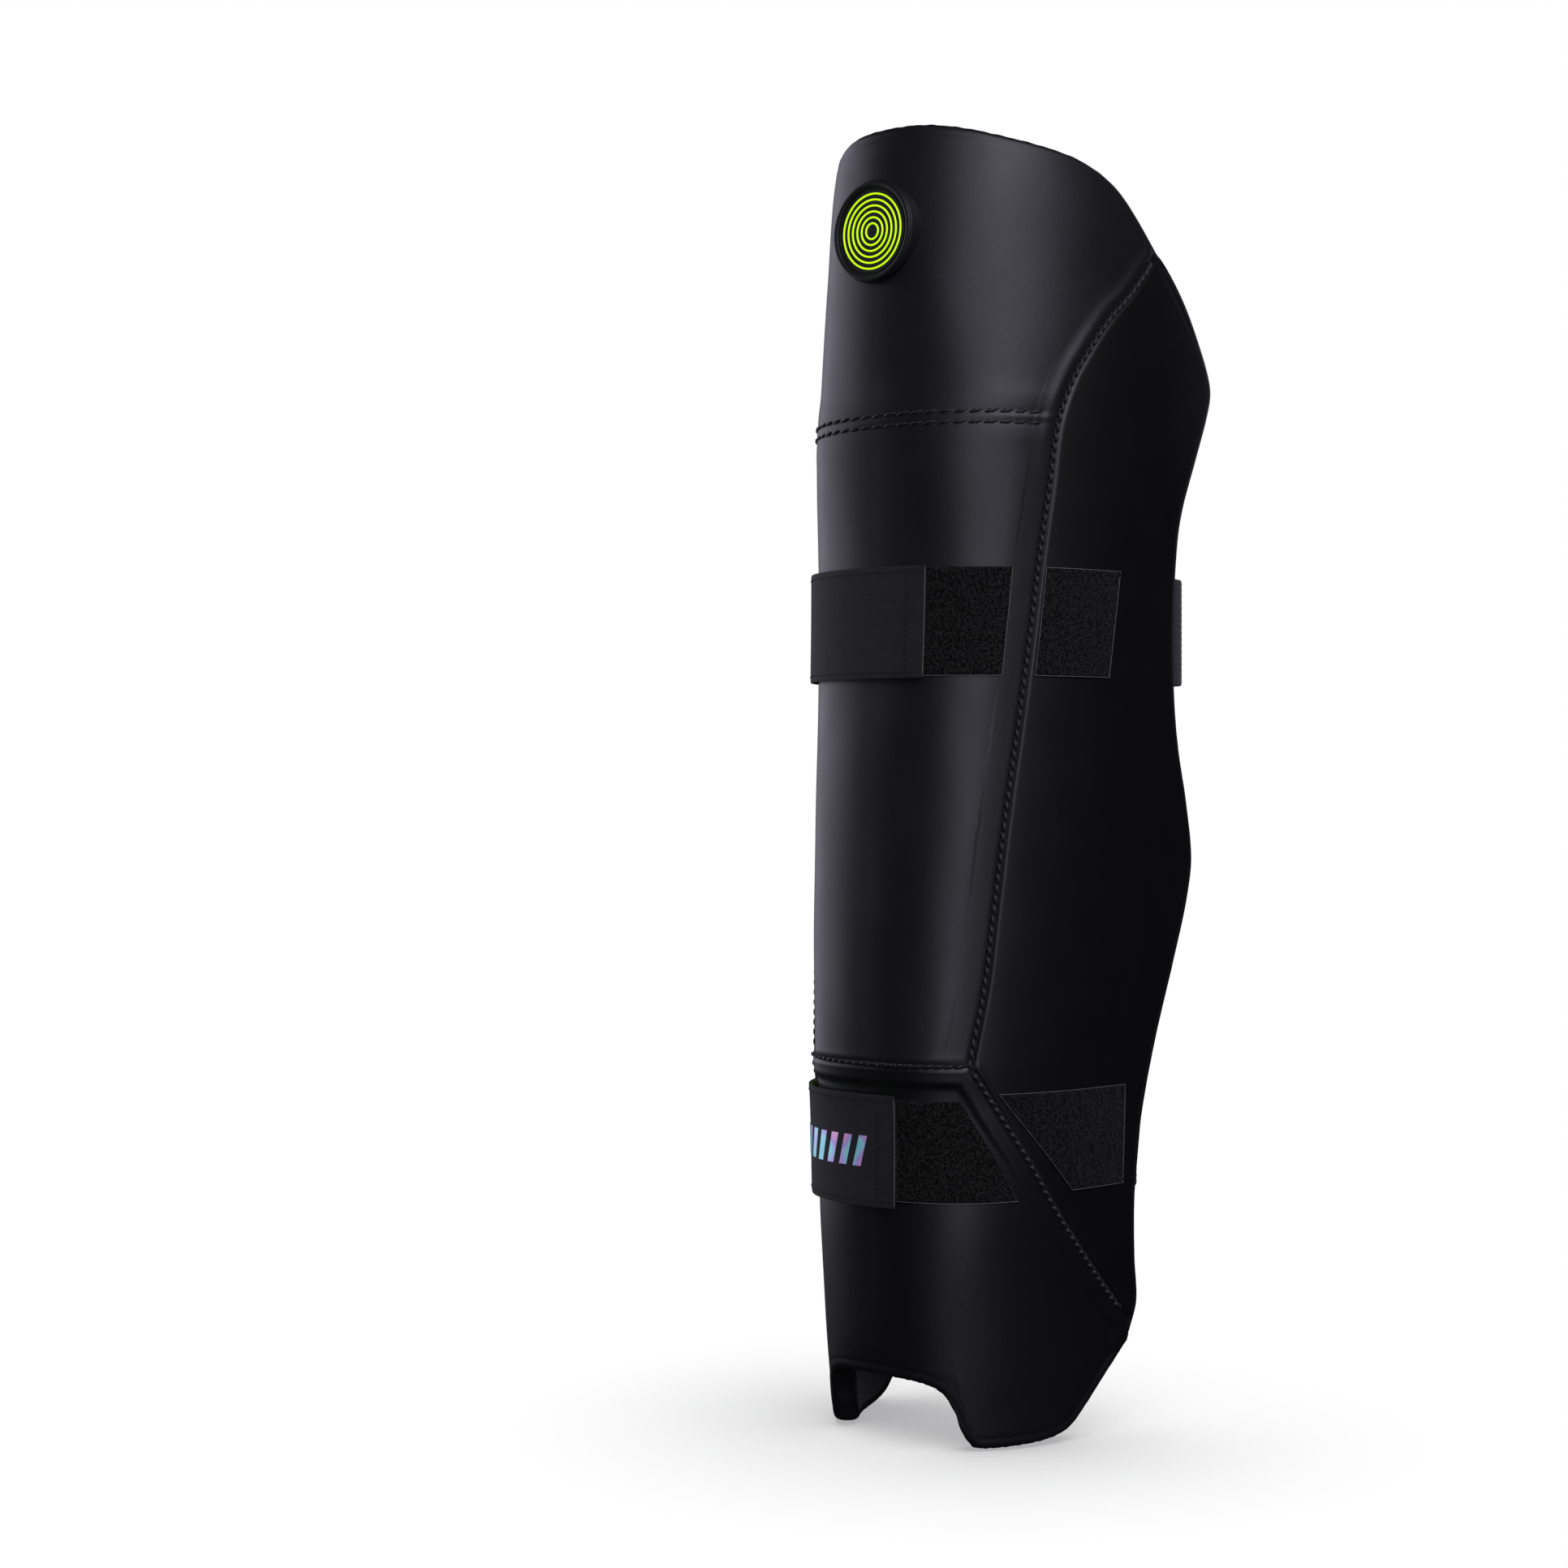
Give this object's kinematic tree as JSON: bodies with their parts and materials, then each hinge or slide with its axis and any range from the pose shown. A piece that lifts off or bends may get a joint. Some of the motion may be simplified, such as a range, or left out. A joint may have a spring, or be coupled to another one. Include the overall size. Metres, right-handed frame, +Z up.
{
  "type": "cricket leg pad",
  "caption": "Wicket-keeping leg pad: covered foam knee, shin and ankle panels with side wings, an instep arch and two elastic straps that fasten on the front.",
  "frame": {"origin": "middle of the leg channel, in the plane of the sides' widest line, at the height of the ankle horns' tips", "axes": "+Z up the leg from the ankle to the knee, -Y out of the front of the pad, +X to the side that carries the straps' sewn ends"},
  "size_m": [0.1582, 0.1955, 0.604],
  "materials": {
    "front_cover": "satin coated synthetic leather, near black",
    "ankle_cover": "satin coated synthetic leather, near black",
    "wing_cover": "satin coated synthetic leather, near black",
    "seam_roll": "satin, rolled and stitched",
    "foam": "closed-cell foam, matt",
    "shield": "thin moulded sheet",
    "lining": "fine mesh, matt",
    "bolster": "brushed cloth, matt",
    "binding": "woven edge tape",
    "loop_tape": "napped loop tape, matt black",
    "badge_rubber": "moulded rubber, satin",
    "badge_colour": "bright lime moulded rubber",
    "elastic": "woven elastic",
    "strap_band": "matt neoprene-faced strap",
    "strap_backing": "bright lime knit",
    "hook_tape": "hook tape, matt black",
    "foil": "iridescent heat-pressed foil"
  },
  "bodies": {
    "root": {"knee_cover": "front_cover", "shin_cover": "front_cover", "ankle_cover": "ankle_cover", "wing_cover_left": "wing_cover", "wing_cover_right": "wing_cover", "knee_foam": "foam", "shin_foam": "foam", "ankle_foam": "foam", "wing_foam_left": "foam", "wing_foam_right": "foam", "knee_shield": "shield", "shin_shield": "shield", "lining": "lining", "knee_bolster_left": "bolster", "knee_bolster_right": "bolster", "knee_roll": "bolster", "shin_bolster_left": "bolster", "shin_bolster_right": "bolster", "top_binding": "binding", "instep_binding": "binding", "wing_binding_left": "binding", "wing_binding_right": "binding", "wing_welt_left": "seam_roll", "wing_welt_right": "seam_roll", "ankle_welt_left": "seam_roll", "ankle_welt_right": "seam_roll", "upper_front_loop": "loop_tape", "upper_wing_loop": "loop_tape", "lower_front_loop": "loop_tape", "lower_wing_loop": "loop_tape", "badge_base": "badge_rubber", "badge_rim": "badge_rubber", "badge_motif": "badge_colour", "upper_strap_anchor": "elastic", "lower_strap_anchor": "elastic"},
    "upper_span": {"upper_strap_elastic": "elastic"},
    "upper_wrap": {"upper_strap_band": "strap_band", "upper_strap_backing": "strap_backing", "upper_strap_hook": "hook_tape"},
    "lower_span": {"lower_strap_elastic": "elastic"},
    "lower_wrap": {"lower_strap_band": "strap_band", "lower_strap_backing": "strap_backing", "lower_strap_hook": "hook_tape", "lower_strap_print": "foil"}
  },
  "joints": [
    {"name": "upper_wrap_swing", "type": "hinge", "parent": "upper_span", "child": "upper_wrap", "pos_m": [-0.079, 0.0325, 0.3755], "axis": [0, 0, -1], "range_deg": [0, 110]},
    {"name": "upper_span_swing", "type": "hinge", "parent": "root", "child": "upper_span", "pos_m": [0.062, 0.032, 0.3755], "axis": [0, 0, -1], "range_deg": [0, 55]},
    {"name": "lower_wrap_swing", "type": "hinge", "parent": "lower_span", "child": "lower_wrap", "pos_m": [-0.0723, 0.017, 0.1355], "axis": [0, 0, -1], "range_deg": [0, 110]},
    {"name": "lower_span_swing", "type": "hinge", "parent": "root", "child": "lower_span", "pos_m": [0.0553, 0.0165, 0.1355], "axis": [0, 0, -1], "range_deg": [0, 55]}
  ],
  "couplings": [
    {"joint": "upper_span_swing", "follows": "upper_wrap_swing", "ratio": 0.5},
    {"joint": "lower_span_swing", "follows": "lower_wrap_swing", "ratio": 0.5}
  ]
}
